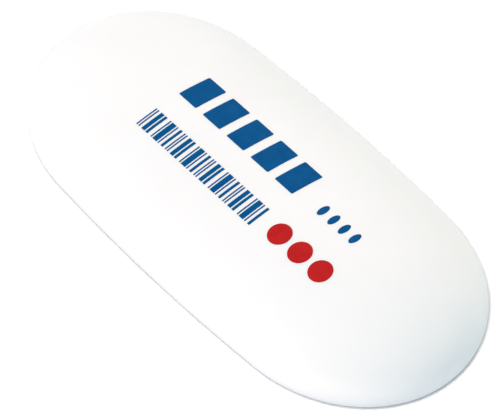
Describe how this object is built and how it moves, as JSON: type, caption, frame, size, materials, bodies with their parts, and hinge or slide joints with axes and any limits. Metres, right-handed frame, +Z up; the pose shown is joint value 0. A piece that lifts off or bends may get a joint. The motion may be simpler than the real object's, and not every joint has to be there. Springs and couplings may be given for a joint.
{
  "type": "rubber eraser",
  "caption": "Soft white pencil eraser: one moulded oval bar, crowned on both faces and rounded all round its edge, with plain printed marks on top.",
  "frame": {"origin": "middle of the face that the bar rests on, on the resting plane", "axes": "+X along the bar's length, +Y across it, +Z up through its thickness towards the printed face"},
  "size_m": [0.06, 0.028, 0.012],
  "materials": {
    "white_rubber": "smooth soft moulded white rubber, satin, with a faint powdery bloom",
    "blue_ink": "thin blue pad-printed ink on the rubber, satin",
    "red_ink": "thin red pad-printed ink on the rubber, satin"
  },
  "bodies": {
    "root": {"eraser_body": "white_rubber"}
  },
  "joints": []
}
